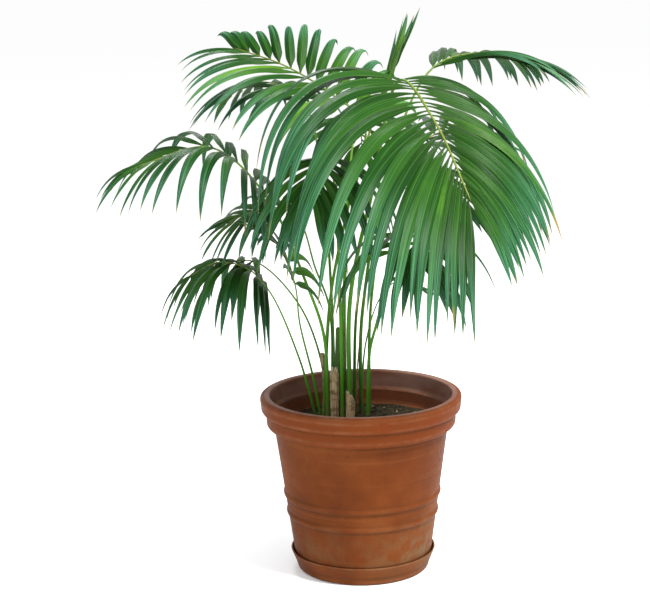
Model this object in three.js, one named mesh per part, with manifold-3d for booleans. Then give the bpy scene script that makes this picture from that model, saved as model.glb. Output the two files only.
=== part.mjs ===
// A kentia-type palm, several plants in one clump, in a round terracotta planter on a saucer.
// Millimetres, +Z up. The origin is under the middle of the saucer, on the planter's axis.

import * as THREE from 'three';
import { mergeVertices } from 'three/addons/utils/BufferGeometryUtils.js';
import Module from 'manifold-3d';

const wasm = await Module();
wasm.setup();

// ---------------------------------------------------------------- driving dimensions

const GAP = 0.4;                  // clearance between pieces that touch or stand in one another
const SHORTEST_EDGE = 0.02;       // shorter edges left by a join or cut are closed up
const ROUND_SEGMENTS = 36;        // facets round the planter

const pot = {
  rimRadius: 250,
  height: 439,
  lipWidth: 24,                   // width of the flat, rolled top edge
  lipRound: 9,
  upperBand: 43,                  // height of the wider band under the rim
  lowerBand: 37,                  // height of the narrower band below it
  bandStep: 15,                   // how much narrower the lower band is
  bodyStep: 19,                   // and the body below it
  heelRadius: 173,                // where the straight body ends
  heelHeight: 44,
  heelMiddle: 18,                 // height at which the rounded heel bulges most
  heelBulge: 3,                   // how far the heel stands out from a straight line
  footRadius: 151,
  footRound: 4,
  bandRound: 12,                  // rounding under each band
  bandDraft: 2,                   // the upper band widens this much toward the rim
  innerRound: 4,                  // rounding at the rim's inner edge
  innerLedge: 6,                  // height of the slopes inside, where the wall thickens
  wall: 13,
  floor: 14,
  drainRadius: 16,
  ringHeights: [141, 189],        // two raised rings low on the body, above the planter's foot
  ringHalfHeight: 8,
  ringDepth: 4,
};

const saucer = {
  footClearance: 11.4,            // from the planter's foot out to the saucer's wall
  heelClearance: 3,               // from the middle of the planter's rounded heel to the wall
  lipClearance: 4.4,              // from the top of that heel to the saucer's lip
  height: 49,
  wall: 3.6,
  floor: 6,
  heel: 9,                        // rounding under the wall
  lipRound: 1.5,
};

const soil = {
  belowRim: 82,                   // from the rim down to the soil at the wall
  mound: 20,                      // the soil is heaped round the clump
};

const planting = { depth: 22 };   // how far the stems go into the soil

const frondSize = {
  spread: 1,                      // scale of every frond's reach and height
  petioleRadius: 4.2,
  footSwell: 1.25,                // how much thicker a stem is where it enters the soil
  tipShare: 0.4,                  // and how thin it is at its tip
  leafletWidth: 27,
  leafletThickness: 2.6,
};

// How leaflets change from a frond's neck to its tip, in degrees from the stem and in shares.
const leafletRule = {
  sweepAtNeck: 78,                // unless the frond gives its own
  sweepAtTip: 22,
  sweepLag: 1.3,                  // above 1, the sweep changes most toward the tip
  shortest: 0.55,                 // of the longest leaflet
  narrowest: 0.7,                 // of the widest leaflet, at a length of nothing
  stiffening: 0.2,                // how much less the leaflets hang toward the tip
};

// How far one leaflet strays from the rule, either way: shares, or degrees for sweep and lift.
const stray = { place: 0.2, sweep: 2, lift: 3, length: 0.08, droop: 0.05 };

// ---------------------------------------------------------------- heights that follow

const potBase = saucer.floor + GAP;
const rimTop = potBase + pot.height;
const soilEdge = rimTop - soil.belowRim;
const soilTop = soilEdge + soil.mound;
const BURIED = new THREE.Vector3(0, 0, -planting.depth);

// ---------------------------------------------------------------- solids

const welded = (geometry) => {
  geometry.deleteAttribute('normal');
  geometry.deleteAttribute('uv');
  return mergeVertices(geometry, 1e-4);
};

const solidOf = (geometry) => {
  const shell = welded(geometry);
  return new wasm.Manifold(new wasm.Mesh({
    numProp: 3,
    vertProperties: new Float32Array(shell.attributes.position.array),
    triVerts: new Uint32Array(shell.index.array),
  }));
};

const geometryOf = (solid) => {
  const mesh = solid.simplify(SHORTEST_EDGE).getMesh();
  const geometry = new THREE.BufferGeometry();
  geometry.setAttribute('position', new THREE.BufferAttribute(mesh.vertProperties, 3));
  geometry.setIndex(new THREE.BufferAttribute(mesh.triVerts, 1));
  return geometry;
};

const joined = (solids) => solids.reduce((whole, piece) => whole.add(piece));

const largestBody = (solid) => solid.decompose().reduce((best, body) => (
  body.volume() > best.volume() ? body : best
));

// Rings of equal point count joined in order. An end is closed by a fan, or by its single point.
const loft = (rings) => {
  const positions = [];
  const index = [];
  const starts = rings.map((ring) => {
    const start = positions.length / 3;
    ring.forEach((point) => positions.push(point.x, point.y, point.z));
    return start;
  });
  for (let r = 0; r + 1 < rings.length; r += 1) {
    const lower = rings[r].length;
    const upper = rings[r + 1].length;
    const count = Math.max(lower, upper);
    for (let i = 0; i < count; i += 1) {
      const a = starts[r] + (i % lower);
      const b = starts[r] + ((i + 1) % lower);
      const c = starts[r + 1] + ((i + 1) % upper);
      const d = starts[r + 1] + (i % upper);
      if (lower > 1) index.push(a, b, c);
      if (upper > 1) index.push(a, c, d);
      if (lower === 1) index.push(a, c, d);
    }
  }
  const cap = (ring, start, flip) => {
    for (let i = 1; i + 1 < ring.length; i += 1) {
      index.push(start, start + (flip ? i + 1 : i), start + (flip ? i : i + 1));
    }
  };
  cap(rings[0], starts[0], true);
  cap(rings.at(-1), starts.at(-1), false);
  const geometry = new THREE.BufferGeometry();
  geometry.setAttribute('position', new THREE.BufferAttribute(new Float32Array(positions), 3));
  geometry.setIndex(index);
  return geometry;
};

const lathe = (profile) => {
  const points = profile.map(([radius, height]) => new THREE.Vector2(radius, height));
  return new THREE.LatheGeometry(points, ROUND_SEGMENTS).rotateX(Math.PI / 2);
};

// Points of an arc about a centre, from one angle to another in degrees.
const arc = (centre, radius, from, to, steps) => Array.from({ length: steps + 1 }, (_, i) => {
  const angle = THREE.MathUtils.degToRad(from + ((to - from) * i) / steps);
  return [centre[0] + radius * Math.cos(angle), centre[1] + radius * Math.sin(angle)];
});

// A repeatable number from -1 to 1 for any seed.
const jitter = (seed) => {
  const wave = Math.sin(seed * 12.9898 + 4.1414) * 43758.5453;
  return 2 * (wave - Math.floor(wave)) - 1;
};

// ---------------------------------------------------------------- planter

const bandFoot = pot.height - pot.upperBand;
const bodyTop = bandFoot - pot.lowerBand;
const bodyTopRadius = pot.rimRadius - pot.bandStep - pot.bodyStep;
const lowerBandRadius = pot.rimRadius - pot.bandStep;
const heelMiddleRadius = (pot.footRadius + pot.heelRadius) / 2 + pot.heelBulge;

// Outer radius of the straight body at a height above the planter's foot.
const bodyRadius = (height) => THREE.MathUtils.mapLinear(
  height, pot.heelHeight, bodyTop, pot.heelRadius, bodyTopRadius,
);

const ringProfile = (height) => [-1, -0.5, 0, 0.5, 1].map((share) => {
  const at = height + share * pot.ringHalfHeight;
  return [bodyRadius(at) + pot.ringDepth * (1 - share * share), at];
});

// Inner radius of the planter at a height above its foot, which the soil follows.
const innerBodyRadius = (height) => bodyRadius(height) - pot.wall;
const innerFootRadius = pot.footRadius - pot.wall / 2;

const potProfile = () => {
  const { rimRadius, height, lipRound, bandRound, innerRound, innerLedge } = pot;
  const inside = rimRadius - pot.lipWidth;
  const insideLower = inside - pot.bandStep / 2;
  return [
    [pot.drainRadius, 0],
    [pot.footRadius - pot.footRound, 0],
    [pot.footRadius, pot.footRound],
    [heelMiddleRadius, pot.heelMiddle],
    [pot.heelRadius, pot.heelHeight],
    ...pot.ringHeights.flatMap(ringProfile),
    [bodyTopRadius, bodyTop],
    ...arc([lowerBandRadius - bandRound, bodyTop + bandRound], bandRound, -80, 0, 2),
    [lowerBandRadius, bandFoot],
    ...arc([rimRadius - pot.bandDraft - bandRound, bandFoot + bandRound], bandRound, -60, 0, 2),
    ...arc([rimRadius - lipRound, height - lipRound], lipRound, 0, 90, 4),
    ...arc([inside + innerRound, height - innerRound], innerRound, 90, 180, 2),
    [inside, bandFoot],
    [insideLower, bandFoot - innerLedge],
    [insideLower, bodyTop],
    [innerBodyRadius(bodyTop), bodyTop - innerLedge],
    [innerBodyRadius(pot.heelHeight), pot.heelHeight],
    [innerFootRadius, pot.floor],
    [pot.drainRadius, pot.floor],
    [pot.drainRadius, 0],
  ];
};

const makePot = () => lathe(potProfile()).translate(0, 0, potBase);

const makeSaucer = () => {
  const { height, wall, floor, heel, lipRound } = saucer;
  const insideFoot = pot.footRadius + saucer.footClearance;
  const insideHeel = [heelMiddleRadius + saucer.heelClearance, potBase + pot.heelMiddle];
  const insideLip = pot.heelRadius + saucer.lipClearance;
  return lathe([
    [0, 0],
    ...arc([insideFoot + wall - heel, heel], heel, -90, 0, 3),
    [insideHeel[0] + wall, insideHeel[1]],
    [insideLip + wall, height - lipRound],
    [insideLip + wall - lipRound, height],
    [insideLip, height],
    insideHeel,
    [insideFoot, heel],
    [insideFoot + wall - heel, floor],
    [0, floor],
  ]);
};

const makeSoil = () => {
  const floor = pot.floor + GAP;
  const edge = pot.height - soil.belowRim;
  const wallLine = [pot.heelHeight, edge].map((at) => [innerBodyRadius(at) - 2 * GAP, at]);
  const edgeRadius = wallLine[1][0];
  const moundLine = [0.8, 0.6, 0.4, 0.2, 0].map((share) => {
    const rise = (1 + Math.cos(Math.PI * share)) / 2;
    return [edgeRadius * share, edge + soil.mound * rise];
  });
  return lathe([
    [0, floor],
    [innerFootRadius - 2 * GAP, floor],
    ...wallLine,
    ...moundLine,
  ]).translate(0, 0, potBase);
};

// ---------------------------------------------------------------- fronds

// Each frond's stem runs smoothly through its points: across, back and up from the soil, in
// millimetres. The leaflets begin at the point numbered `neck`. Each side has its own lift, in
// degrees above the frond's own plane, and droop, from 0 for stiff to 1 for hanging. `late` is
// how far out along the leaflet the bend comes. A `sweep` is the leaflets' angle at the neck.
const fronds = [
  {
    name: 'frond_front_right',
    points: [[-26, 0, 0], [-22, -4, 300], [34, -22, 560], [100, -105, 838], [178, -280, 756],
      [247, -420, 600]],
    neck: 3, pairs: 27, thick: 1.2,
    right: { length: 620, lift: 20, droop: 0.93, late: 1, sweep: 84 },
    left: { length: 420, lift: 12, droop: 0.88, late: 0.75 },
  },
  {
    name: 'frond_upper_left',
    points: [[-94, 42, 0], [-70, 40, 300], [-14, 44, 560], [20, 44, 722], [-62, 56, 798],
      [-170, 100, 862], [-300, 165, 905]],
    neck: 3, pairs: 14, thick: 1,
    right: { length: 165, lift: 62, droop: 0.8, late: 3, sweep: 90 },
    left: { length: 330, lift: -4, droop: 0.7, late: 1 },
  },
  {
    name: 'frond_mid_left',
    points: [[-82, 20, 0], [-88, 6, 205], [-128, -6, 340], [-222, -8, 560], [-350, -20, 680],
      [-530, -46, 640]],
    neck: 3, pairs: 12, thick: 1,
    right: { length: 290, lift: 22, droop: 0.8, late: 0.9 },
    left: { length: 290, lift: 10, droop: 0.85, late: 0.8 },
  },
  {
    name: 'frond_low_left',
    points: [[-112, 66, 0], [-153, 40, 145], [-219, 8, 318], [-271, -4, 379], [-340, -10, 398],
      [-414, -16, 365]],
    neck: 2, pairs: 11, thick: 0.7,
    right: { length: 270, lift: 12, droop: 0.9, late: 0.7 },
    left: { length: 270, lift: 6, droop: 0.9, late: 0.6 },
  },
  {
    name: 'frond_small_left',
    points: [[-74, 52, 0], [-74, 60, 262], [-108, 72, 365], [-149, 86, 488], [-210, 92, 515],
      [-330, 98, 478]],
    neck: 3, pairs: 9, thick: 0.8,
    right: { length: 220, lift: 20, droop: 0.6, late: 1 },
    left: { length: 220, lift: 4, droop: 0.8, late: 0.8 },
  },
  {
    name: 'frond_low_left_back',
    points: [[-84, 92, 0], [-103, 96, 140], [-155, 98, 272], [-254, 104, 374], [-330, 120, 372],
      [-400, 140, 330]],
    neck: 3, pairs: 7, thick: 0.7,
    right: { length: 230, lift: 15, droop: 0.85, late: 0.7 },
    left: { length: 230, lift: 5, droop: 0.9, late: 0.7 },
  },
  {
    name: 'frond_low_left_young',
    points: [[-100, 54, 0], [-117, 44, 85], [-148, 24, 235], [-156, 10, 330], [-182, -6, 420],
      [-226, -20, 466]],
    neck: 3, pairs: 6, thick: 0.7,
    right: { length: 190, lift: 15, droop: 0.5, late: 1 },
    left: { length: 190, lift: 10, droop: 0.7, late: 1 },
  },
  {
    name: 'frond_upper_right',
    points: [[2, 30, 0], [1, 34, 170], [10, 54, 275], [69, 122, 578], [186, 200, 837],
      [320, 300, 873], [450, 385, 850]],
    neck: 4, pairs: 15, thick: 1,
    right: { length: 340, lift: 2, droop: 0.6, late: 1, sweep: 45 },
    left: { length: 340, lift: 4, droop: 0.6, late: 1, sweep: 45 },
  },
  {
    name: 'frond_right_back',
    points: [[20, 50, 0], [30, 66, 280], [76, 84, 520], [145, 126, 650], [230, 166, 690],
      [320, 196, 650]],
    neck: 3, pairs: 8, thick: 0.9,
    right: { length: 240, lift: 10, droop: 0.5, late: 1 },
    left: { length: 240, lift: 20, droop: 0.5, late: 1 },
  },
  {
    name: 'frond_low_right',
    points: [[16, 10, 0], [24, 4, 165], [40, -4, 230], [88, -48, 407], [121, -100, 480],
      [150, -190, 420]],
    neck: 3, pairs: 8, thick: 0.9,
    right: { length: 280, lift: 10, droop: 0.9, late: 0.6 },
    left: { length: 280, lift: 10, droop: 0.9, late: 0.6 },
  },
  {
    name: 'frond_small_right',
    points: [[0, 76, 0], [14, 96, 160], [50, 122, 270], [90, 142, 310], [140, 160, 300]],
    neck: 3, pairs: 5, thick: 0.6,
    right: { length: 120, lift: 15, droop: 0.6, late: 1 },
    left: { length: 120, lift: 15, droop: 0.6, late: 1 },
  },
  {
    name: 'frond_centre',
    points: [[-46, 3, 0], [-46, -8, 200], [-50, -22, 470], [-62, -60, 640], [-85, -150, 655],
      [-105, -240, 580]],
    neck: 3, pairs: 9, thick: 1,
    right: { length: 300, lift: 10, droop: 0.9, late: 0.6 },
    left: { length: 300, lift: 10, droop: 0.9, late: 0.6 },
  },
  {
    name: 'frond_new_spear',
    points: [[-38, 44, 0], [-38, 50, 300], [-6, 66, 560], [52, 82, 760], [100, 92, 885]],
    neck: 3, pairs: 4, thick: 1.2,
    right: { length: 200, lift: 5, droop: 0.05, late: 1, sweep: 16 },
    left: { length: 200, lift: 5, droop: 0.05, late: 1, sweep: 16 },
  },
  {
    name: 'frond_back_left',
    points: [[-66, 88, 0], [-70, 112, 300], [-90, 150, 600], [-130, 196, 760], [-230, 275, 810],
      [-340, 345, 770]],
    neck: 3, pairs: 8, thick: 0.9,
    right: { length: 260, lift: 10, droop: 0.7, late: 0.8 },
    left: { length: 260, lift: 10, droop: 0.7, late: 0.8 },
  },
  {
    name: 'frond_back',
    points: [[-40, 84, 0], [-36, 118, 300], [-22, 190, 560], [0, 300, 700], [10, 420, 690],
      [15, 520, 590]],
    neck: 3, pairs: 8, thick: 0.9,
    right: { length: 280, lift: 10, droop: 0.7, late: 0.8 },
    left: { length: 280, lift: 10, droop: 0.7, late: 0.8 },
  },
  {
    name: 'frond_back_right',
    points: [[-18, 78, 0], [-2, 116, 280], [60, 196, 480], [130, 290, 580], [210, 375, 560],
      [270, 430, 470]],
    neck: 3, pairs: 8, thick: 0.9,
    right: { length: 250, lift: 10, droop: 0.7, late: 0.8 },
    left: { length: 250, lift: 10, droop: 0.7, late: 0.8 },
  },
];

const STEM_SIDES = 4;
const PETIOLE_STEPS = 5;
const RACHIS_STEPS = 7;
const CURVE_DIVISIONS = 200;
const UP = new THREE.Vector3(0, 0, 1);
const DOWN = new THREE.Vector3(0, 0, -1);

const alongStem = (points) => {
  const curve = new THREE.CatmullRomCurve3(points, false, 'centripetal');
  curve.arcLengthDivisions = CURVE_DIVISIONS;
  return curve;
};

// The frond's stem as a curve, with the share of its length where the leaflets begin.
const stemOf = (frond) => {
  const above = frond.points.map(([x, y, z]) => new THREE.Vector3(
    x, y, soilTop + z * frondSize.spread,
  ));
  above.slice(1).forEach((point) => {
    point.x = above[0].x + (point.x - above[0].x) * frondSize.spread;
    point.y = above[0].y + (point.y - above[0].y) * frondSize.spread;
  });
  const foot = above[0].clone().add(BURIED);
  const curve = alongStem([foot, ...above.slice(1)]);
  const lengths = curve.getLengths();
  const neckShare = frond.neck / (frond.points.length - 1);
  const neck = lengths[Math.round(neckShare * CURVE_DIVISIONS)] / lengths.at(-1);
  const heading = above.at(-1).clone().sub(above[frond.neck]).setZ(0).normalize();
  const shares = [
    ...Array.from({ length: PETIOLE_STEPS }, (_, i) => (neck * i) / PETIOLE_STEPS),
    ...Array.from({ length: RACHIS_STEPS + 1 }, (_, i) => neck + ((1 - neck) * i) / RACHIS_STEPS),
  ];
  const centres = shares.map((share) => curve.getPointAt(share));
  return { curve, neck, heading, frond, shares, centres };
};

// A point on the straight run between two of the stem's rings, so that a leaflet starts inside it.
const pointOn = (stem, share) => {
  const next = stem.shares.findIndex((at) => at > share);
  const [from, to] = [stem.shares[next - 1], stem.shares[next]];
  return stem.centres[next - 1].clone()
    .lerp(stem.centres[next], (share - from) / (to - from));
};

// The stem's own directions at a share of its length: along it, to its right and up from it.
const frameAt = (stem, share) => {
  const along = stem.curve.getTangentAt(share);
  const right = new THREE.Vector3().crossVectors(stem.heading, UP);
  right.addScaledVector(along, -right.dot(along)).normalize();
  const up = new THREE.Vector3().crossVectors(right, along);
  return { along, right, up };
};

const stemRadius = (stem, share) => {
  const { petioleRadius, footSwell, tipShare } = frondSize;
  return petioleRadius * stem.frond.thick * THREE.MathUtils.lerp(footSwell, tipShare, share);
};

const stemSolid = (stem, extra) => {
  const rings = stem.shares.map((share, step) => {
    const { right, up, along } = frameAt(stem, share);
    const overrun = extra * (Number(share === 1) - Number(share === 0));
    const centre = stem.centres[step].clone().addScaledVector(along, overrun);
    const radius = stemRadius(stem, share) + extra;
    return Array.from({ length: STEM_SIDES }, (__, side) => {
      const angle = (2 * Math.PI * side) / STEM_SIDES;
      return centre.clone()
        .addScaledVector(right, radius * Math.cos(angle))
        .addScaledVector(up, -radius * Math.sin(angle));
    });
  });
  return solidOf(loft(rings));
};

// Where along a leaflet its outline is set, and how wide it is there, as shares.
const LONG_OUTLINE = [[0, 0.2], [0.33, 1], [0.7, 0.72], [1, 0]];
const SHORT_OUTLINE = [[0, 0.2], [0.45, 1], [1, 0]];
const LONG_LEAFLET = 400;

// One leaflet's centre line: it leaves the stem outward and forward, and bends under its weight.
const leafletLine = (start, direction, length, droop, late) => {
  const steps = 12;
  const line = [start.clone()];
  for (let step = 1; step <= steps; step += 1) {
    const share = (step - 0.5) / steps;
    const bend = droop * share ** late;
    const heading = direction.clone().multiplyScalar(1 - bend).addScaledVector(DOWN, bend);
    line.push(line.at(-1).clone().addScaledVector(heading.normalize(), length / steps));
  }
  return line;
};

// A leaflet's section is a low roof over its midrib, and its sleeve's is a box that clears it.
const roofSection = (half, rise) => [[half, -rise], [0, rise], [-half, -rise]];
const sleeveSection = (half, rise) => {
  const x = half + GAP;
  const z = rise + GAP;
  return [[x, -z], [x, z], [-x, z], [-x, -z]];
};

// The blade turns with its line and doesn't twist about it: each side vector follows the last.
const bladeFrames = (line, across) => {
  let side = across;
  return line.map((_, at) => {
    const ahead = line[Math.min(at + 1, line.length - 1)].clone()
      .sub(line[Math.max(at - 1, 0)]).normalize();
    side = side.clone().addScaledVector(ahead, -side.dot(ahead)).normalize();
    return { side, upward: new THREE.Vector3().crossVectors(ahead, side) };
  });
};

const leafletSolid = (line, outline, across, width, section) => {
  const frames = bladeFrames(line, across);
  const rings = outline.map(([share, widthShare]) => {
    const at = Math.round(share * (line.length - 1));
    const { side, upward } = frames[at];
    if (section === roofSection && widthShare === 0) return [line[at]];
    return section(0.5 * width * widthShare, frondSize.leafletThickness / 2).map(([x, z]) => (
      line[at].clone().addScaledVector(side, x).addScaledVector(upward, z)
    ));
  });
  return solidOf(loft(rings));
};

// How one leaflet leaves the stem: its direction, length, droop and width.
const leafletAt = (stem, place, seed, side, sign) => {
  const { sweepAtNeck, sweepAtTip, sweepLag, shortest, narrowest, stiffening } = leafletRule;
  const { degToRad, lerp } = THREE.MathUtils;
  const hand = stem.frond[side];
  const share = lerp(stem.neck, 0.995, place + stray.place * jitter(seed) / stem.frond.pairs);
  const { along, right, up } = frameAt(stem, share);
  const sweep = degToRad(
    lerp(hand.sweep ?? sweepAtNeck, Math.min(sweepAtTip, hand.sweep ?? sweepAtTip), place ** sweepLag)
      + stray.sweep * jitter(seed + 0.3),
  );
  const lift = degToRad(hand.lift + stray.lift * jitter(seed + 0.6));
  const direction = along.clone().multiplyScalar(Math.cos(sweep))
    .addScaledVector(right, sign * Math.cos(lift) * Math.sin(sweep))
    .addScaledVector(up, Math.sin(lift) * Math.sin(sweep));
  // The longest leaflets are a third of the way from the neck to the tip.
  const fullness = Math.sin(Math.PI * Math.min(1, 0.22 + 0.85 * place));
  const shape = lerp(shortest, 1, fullness);
  const length = hand.length * frondSize.spread * shape
    * (1 + stray.length * jitter(seed + 0.9));
  const droop = hand.droop * (1 - stiffening * place) * (1 + stray.droop * jitter(seed + 1.2));
  const width = frondSize.leafletWidth * Math.sqrt(stem.frond.thick) * lerp(narrowest, 1, shape);
  const line = leafletLine(pointOn(stem, share), direction, length, droop, hand.late);
  return { line, length, width, across: along.multiplyScalar(-sign) };
};

const leafletsOf = (stem, section) => {
  const { frond } = stem;
  const solids = [];
  for (let pair = 0; pair < frond.pairs; pair += 1) {
    const place = (pair + 0.5) / frond.pairs;
    [['right', 1], ['left', -1]].forEach(([side, sign]) => {
      const seed = pair * 2 + sign + frond[side].length;
      const { line, length, width, across } = leafletAt(stem, place, seed, side, sign);
      const outline = length > LONG_LEAFLET ? LONG_OUTLINE : SHORT_OUTLINE;
      solids.push(leafletSolid(line, outline, across, width, section));
    });
  }
  return joined(solids);
};

// ---------------------------------------------------------------- foot of the clump

// A round piece that tapers along its points, such as a shoot, a stub or a dead stalk.
const taperedRod = (points, radii, extra) => {
  const above = points.map(([x, y, z]) => new THREE.Vector3(x, y, soilTop + z));
  const curve = alongStem([above[0].clone().add(BURIED), ...above.slice(1)]);
  const steps = 5;
  const sides = 7;
  const rings = Array.from({ length: steps + 1 }, (_, step) => {
    const share = step / steps;
    const centre = curve.getPointAt(share);
    if (step === 0) centre.z -= extra;
    if (step === steps) centre.z += extra;
    const radius = THREE.MathUtils.lerp(radii[0], radii[1], share) + extra;
    return Array.from({ length: sides }, (__, side) => {
      const angle = (2 * Math.PI * side) / sides;
      return centre.clone().add(
        new THREE.Vector3(radius * Math.cos(angle), radius * Math.sin(angle), 0),
      );
    });
  });
  return solidOf(loft(rings));
};

const RAGGED_SHARE = 0.14;
const RAGGED_TEETH = 7;

// The dead base of an old leaf: an open, upright shell with a ragged top edge.
const driedSheath = ({ at, inner, wall, height, from, to, lean }, extra) => {
  const start = THREE.MathUtils.degToRad(from);
  const end = THREE.MathUtils.degToRad(to);
  const margin = extra / inner;
  const shape = new THREE.Shape();
  shape.absarc(0, 0, inner + wall + extra, start - margin, end + margin, false);
  shape.absarc(0, 0, inner - extra, end + margin, start - margin, true);
  const depth = height + planting.depth + extra;
  const shell = new THREE.ExtrudeGeometry(shape, {
    depth, bevelEnabled: false, curveSegments: 7, steps: 2,
  });
  const position = shell.attributes.position;
  for (let i = 0; i < position.count; i += 1) {
    const [x, y, z] = [position.getX(i), position.getY(i), position.getZ(i)];
    const atTop = z > depth - 1;
    const ragged = atTop ? height * RAGGED_SHARE * Math.sin(RAGGED_TEETH * Math.atan2(y, x)) : 0;
    position.setXYZ(i, x + lean * z, y, z + ragged);
  }
  shell.translate(at[0], at[1], soilTop - planting.depth - extra);
  return solidOf(shell);
};

const tallSheath = {
  at: [-65, 4], inner: 9, wall: 2.4, height: 118, from: 165, to: 385, lean: 0.01,
};
const splitSheath = {
  at: [-26, 0], inner: 9.4, wall: 2, height: 62, from: 165, to: 350, lean: 0.01,
};

const clumpPieces = [
  {
    name: 'shoot_core',
    color: 0x2f5a22,
    make: (extra) => taperedRod([[-57, 34, 0], [-56, 34, 110], [-54, 35, 215]], [10.5, 6], extra),
  },
  {
    name: 'cut_stub',
    color: 0x9a7b52,
    make: (extra) => taperedRod([[-86, 57, 0], [-90, 56, 80], [-95, 54, 150]], [6, 5.5], extra),
  },
  {
    name: 'dead_stalk_left',
    color: 0x6b4a2a,
    make: (extra) => taperedRod([[-35, 15, 0], [-37, 15, 120], [-38, 14, 235]], [2.2, 1.2], extra),
  },
  {
    name: 'dead_stalk_right',
    color: 0x6b4a2a,
    make: (extra) => taperedRod([[-12, 10, 0], [-8, 10, 110], [2, 8, 220]], [2.2, 1.2], extra),
  },
  {
    name: 'dried_sheath_tall',
    color: 0x8a6d4d,
    make: (extra) => driedSheath(tallSheath, extra),
  },
  {
    name: 'dried_sheath_split',
    color: 0xb39568,
    make: (extra) => driedSheath(splitSheath, extra),
  },
];

// ---------------------------------------------------------------- assembly

const palm = new THREE.Group();

const add = (name, geometry, color, roughness = 0.6) => {
  const mesh = new THREE.Mesh(
    geometry,
    new THREE.MeshStandardMaterial({ color, roughness, metalness: 0 }),
  );
  mesh.name = name;
  palm.add(mesh);
};

const stems = fronds.map(stemOf);
const stemCores = stems.map((stem) => stemSolid(stem, 0));
const stemSleeves = stems.map((stem) => stemSolid(stem, GAP));

// A leaflet stops short of every other frond's stem and of the leaflets built before it.
let taken = null;
stems.forEach((stem, i) => {
  const otherStems = joined(stemSleeves.filter((_, j) => j !== i));
  const barred = taken ? otherStems.add(taken) : otherStems;
  const blades = leafletsOf(stem, roofSection).subtract(barred);
  add(stem.frond.name, geometryOf(largestBody(stemCores[i].add(blades))), 0x3f7a2c, 0.45);
  const sleeves = leafletsOf(stem, sleeveSection);
  taken = taken ? taken.add(sleeves) : sleeves;
});

const baseSleeves = clumpPieces.map((piece) => piece.make(GAP));
clumpPieces.forEach(({ name, color, make }) => add(name, geometryOf(make(0)), color, 0.8));

add('saucer', makeSaucer(), 0xa0552f);
add('pot', makePot(), 0x94552f);
const sockets = joined([...stemSleeves, ...baseSleeves]);
add('soil', geometryOf(solidOf(makeSoil()).subtract(sockets)), 0x2c2119, 0.95);

export default palm;
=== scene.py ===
"""The looks of a potted palm: fine fronds, planter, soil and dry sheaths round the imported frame."""

import math
import random

import bpy
import numpy as np
from mathutils import Matrix, Vector, noise


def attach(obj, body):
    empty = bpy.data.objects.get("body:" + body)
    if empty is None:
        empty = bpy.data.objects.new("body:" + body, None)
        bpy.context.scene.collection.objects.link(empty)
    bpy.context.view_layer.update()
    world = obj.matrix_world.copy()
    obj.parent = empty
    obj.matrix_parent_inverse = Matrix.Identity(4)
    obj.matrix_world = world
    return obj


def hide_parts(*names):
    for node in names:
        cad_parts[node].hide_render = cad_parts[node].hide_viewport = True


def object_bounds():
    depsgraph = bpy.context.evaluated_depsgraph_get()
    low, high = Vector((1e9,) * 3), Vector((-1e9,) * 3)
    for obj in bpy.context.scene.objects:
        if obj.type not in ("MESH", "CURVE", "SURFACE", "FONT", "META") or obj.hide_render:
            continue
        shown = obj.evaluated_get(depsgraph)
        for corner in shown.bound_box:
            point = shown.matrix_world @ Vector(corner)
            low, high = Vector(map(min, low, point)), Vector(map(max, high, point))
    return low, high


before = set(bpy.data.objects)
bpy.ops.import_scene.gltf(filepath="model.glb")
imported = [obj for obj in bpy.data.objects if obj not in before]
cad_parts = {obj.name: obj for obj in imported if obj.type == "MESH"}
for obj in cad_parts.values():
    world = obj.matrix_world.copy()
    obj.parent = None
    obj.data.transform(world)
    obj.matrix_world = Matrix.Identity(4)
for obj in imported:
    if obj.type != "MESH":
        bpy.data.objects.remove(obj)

cad_box = [list(corner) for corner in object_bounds()]
MM = 0.001
UP = np.array([0.0, 0.0, 1.0])


# ------------------------------------------------------------------ camera, floor and light

def make_camera():
    distance, height = 4.216, 1.560
    pan, tilt, roll = math.radians(1.14), math.radians(11.78), math.radians(-1.15)
    data = bpy.data.cameras.new("camera")
    data.sensor_width = 36.0
    data.lens = 97.2
    data.clip_end = 60.0
    camera = bpy.data.objects.new("camera", data)
    bpy.context.collection.objects.link(camera)
    camera.matrix_world = (
        Matrix.Translation((0.0, -distance, height))
        @ Matrix.Rotation(pan, 4, "Z")
        @ Matrix.Rotation(math.pi / 2 - tilt, 4, "X")
        @ Matrix.Rotation(roll, 4, "Z")
    )
    bpy.context.scene.camera = camera


def make_light(name, place, target, size, power, tint):
    data = bpy.data.lights.new(name, "AREA")
    data.shape = "DISK"
    data.size = size
    data.energy = power
    data.color = tint
    light = bpy.data.objects.new(name, data)
    bpy.context.collection.objects.link(light)
    light.location = place
    light.rotation_euler = (Vector(target) - Vector(place)).to_track_quat("-Z", "Y").to_euler()


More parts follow.
